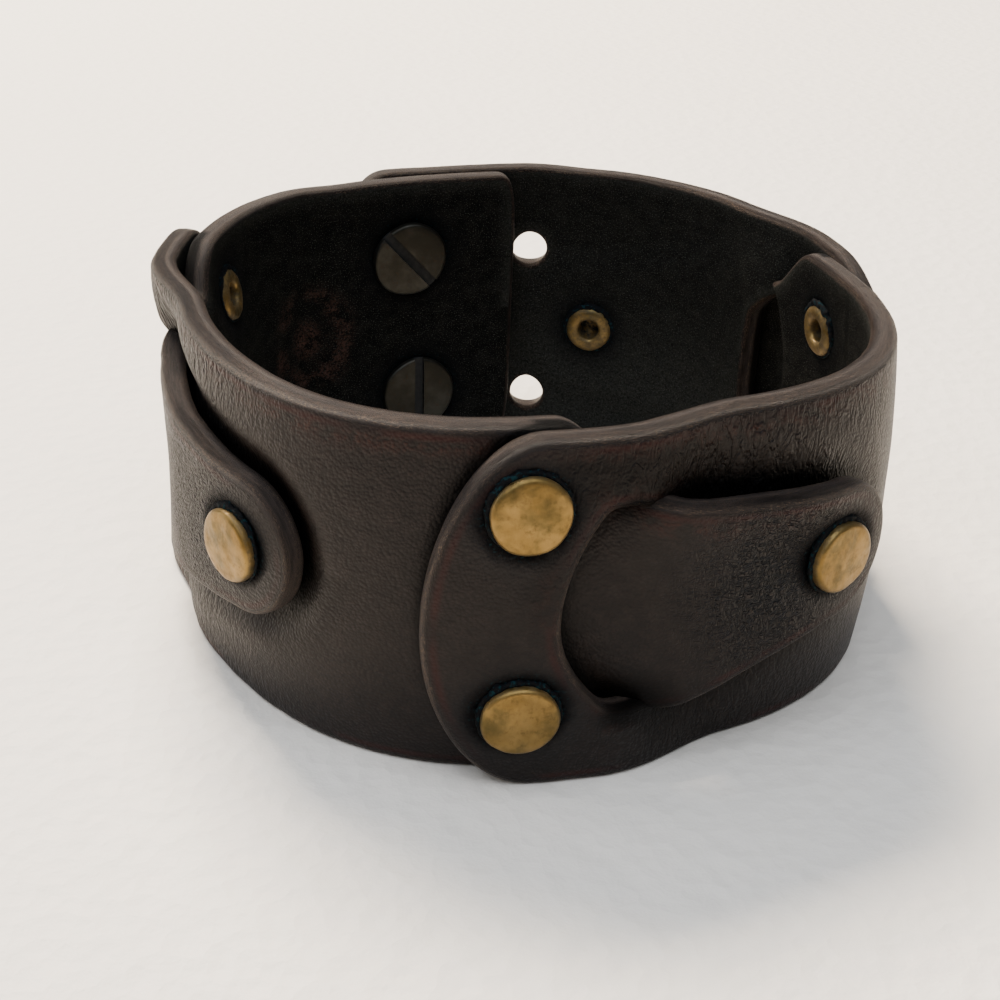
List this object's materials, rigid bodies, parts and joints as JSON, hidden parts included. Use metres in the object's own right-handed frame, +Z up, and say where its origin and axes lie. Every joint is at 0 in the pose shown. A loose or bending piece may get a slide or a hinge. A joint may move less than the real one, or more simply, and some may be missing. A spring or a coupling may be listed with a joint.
{
  "type": "leather cuff bracelet",
  "caption": "Wide leather cuff bracelet of laced panels: each tongue threads through a crescent slot and is riveted; slotted screw posts close the back.",
  "frame": {"origin": "on the surface the bracelet lies on, under the middle of its bounding box", "axes": "+Z up along the bracelet's own axis, through the wrist opening; -Y towards the riveted front junction that faces the viewer; +X to the right of the picture"},
  "size_m": [0.0832, 0.089, 0.036],
  "materials": {
    "leather": "worn, burnished edges",
    "rivet_brass": "aged, stained",
    "post_steel": "tarnished",
    "screw_steel": "tarnished"
  },
  "bodies": {
    "root": {"leather_panel_front_left": "leather", "leather_panel_front_right": "leather", "leather_panel_back_right": "leather", "leather_panel_back_left": "leather", "rivet_front_upper": "rivet_brass", "rivet_front_lower": "rivet_brass", "rivet_front_tongue": "rivet_brass", "rivet_right_upper": "rivet_brass", "rivet_right_lower": "rivet_brass", "rivet_right_tongue": "rivet_brass", "rivet_left_upper": "rivet_brass", "rivet_left_lower": "rivet_brass", "rivet_left_tongue": "rivet_brass", "closure_post_upper": "post_steel", "closure_post_lower": "post_steel", "closure_screw_upper": "screw_steel", "closure_screw_lower": "screw_steel"}
  },
  "joints": []
}
